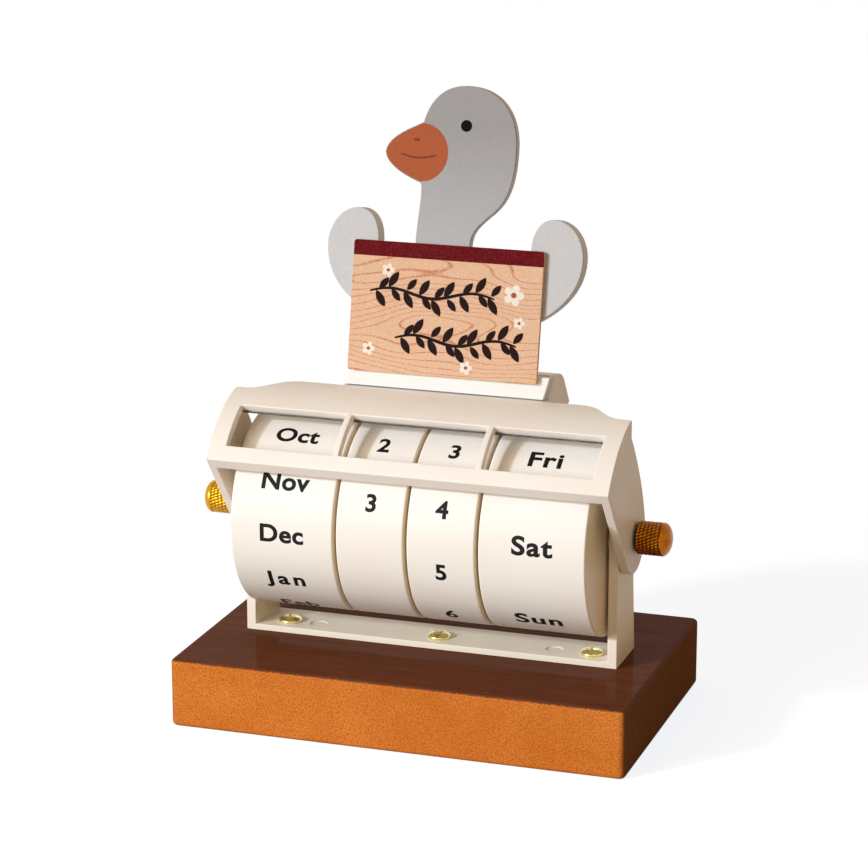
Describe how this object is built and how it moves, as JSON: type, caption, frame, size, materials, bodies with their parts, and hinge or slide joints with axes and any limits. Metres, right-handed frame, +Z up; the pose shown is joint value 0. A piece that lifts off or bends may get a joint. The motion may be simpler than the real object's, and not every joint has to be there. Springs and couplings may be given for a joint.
{
  "type": "perpetual desk calendar",
  "caption": "Perpetual desk calendar: printed drums turn on an axle under a windowed hood, on a wooden base, with a flat goose figure holding a sign on top.",
  "frame": {"origin": "centre of the underside of the wooden base", "axes": "+Z up, +X to the right of someone who reads the calendar, +Y towards the back"},
  "size_m": [0.1362, 0.081, 0.1732],
  "materials": {
    "stained_wood": "dark stained hardwood under gloss lacquer",
    "cream_plastic": "satin moulded plastic",
    "drum_plastic": "satin moulded plastic with black printed markings",
    "yellow_steel": "yellow zinc-plated steel",
    "steel": "plain ground steel",
    "brass": "knurled polished brass",
    "nylon": "natural nylon",
    "painted_board": "board under matt white paint",
    "printed_board": "thin board with a matt print",
    "foam": "white foam tape"
  },
  "bodies": {
    "stand": {"wood_base": "stained_wood", "frame": "cream_plastic", "hood": "cream_plastic", "base_screw_left": "yellow_steel", "base_screw_middle": "yellow_steel", "base_screw_right": "yellow_steel", "washer_left": "nylon", "washer_month_tens": "nylon", "washer_tens_units": "nylon", "washer_units_weekday": "nylon", "washer_right": "nylon", "body_plate": "painted_board", "head_plate": "painted_board", "sign_board": "printed_board", "mounting_tape": "foam"},
    "month": {"month_drum": "drum_plastic", "month_drum_cap": "drum_plastic"},
    "tens": {"tens_drum": "drum_plastic", "tens_drum_cap": "drum_plastic"},
    "units": {"units_drum": "drum_plastic", "units_drum_cap": "drum_plastic"},
    "weekday": {"weekday_drum": "drum_plastic", "weekday_drum_cap": "drum_plastic"},
    "axle": {"axle_rod": "steel", "left_knob": "brass", "right_knob": "brass"}
  },
  "joints": [
    {"name": "month_turn", "type": "hinge", "parent": "stand", "child": "month", "pos_m": [0, -0.002, 0.0555], "axis": [1, 0, 0], "continuous": true},
    {"name": "tens_turn", "type": "hinge", "parent": "stand", "child": "tens", "pos_m": [0, -0.002, 0.0555], "axis": [1, 0, 0], "continuous": true},
    {"name": "units_turn", "type": "hinge", "parent": "stand", "child": "units", "pos_m": [0, -0.002, 0.0555], "axis": [1, 0, 0], "continuous": true},
    {"name": "weekday_turn", "type": "hinge", "parent": "stand", "child": "weekday", "pos_m": [0, -0.002, 0.0555], "axis": [1, 0, 0], "continuous": true},
    {"name": "axle_turn", "type": "hinge", "parent": "stand", "child": "axle", "pos_m": [0, -0.002, 0.0555], "axis": [1, 0, 0], "continuous": true}
  ]
}
